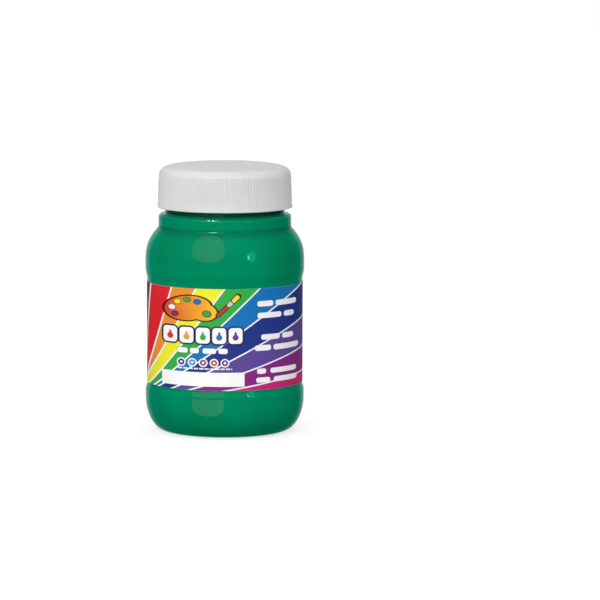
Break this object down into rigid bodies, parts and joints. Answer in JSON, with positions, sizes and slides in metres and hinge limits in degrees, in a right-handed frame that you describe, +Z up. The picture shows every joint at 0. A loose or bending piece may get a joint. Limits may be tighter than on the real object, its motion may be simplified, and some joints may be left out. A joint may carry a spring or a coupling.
{
  "type": "paint jar",
  "caption": "Round clear plastic paint jar with a recessed label panel and collar, filled with green paint, wrap label and ribbed white screw cap.",
  "frame": {"origin": "centre of the foot ring on the ground", "axes": "+Z up along the jar's axis, the label's front faces -Y, its lapped seam is at the back (+Y)"},
  "size_m": [0.066, 0.066, 0.1106],
  "materials": {
    "clear_plastic": "clear glossy blow-moulded plastic",
    "green_paint": "wet glossy green paint",
    "printed_film": "glossy printed film with a rainbow ray print",
    "liner_foam": "matte white foam",
    "white_plastic": "satin white moulded plastic"
  },
  "bodies": {
    "jar": {"jar_body": "clear_plastic", "wrap_label": "printed_film", "paint_fill": "green_paint"},
    "liner": {"cap_liner": "liner_foam"},
    "cap": {"screw_cap": "white_plastic"}
  },
  "joints": [
    {"name": "cap_lift", "type": "slide", "parent": "jar", "child": "liner", "axis": [0, 0, 1], "range_m": [0, 0.017]},
    {"name": "cap_turn", "type": "hinge", "parent": "liner", "child": "cap", "pos_m": [0, 0, 0.1], "axis": [0, 0, 1], "range_deg": [0, 1440]}
  ],
  "couplings": [
    {"joint": "cap_lift", "follows": "cap_turn", "m_per_rad": 0.00067376}
  ]
}
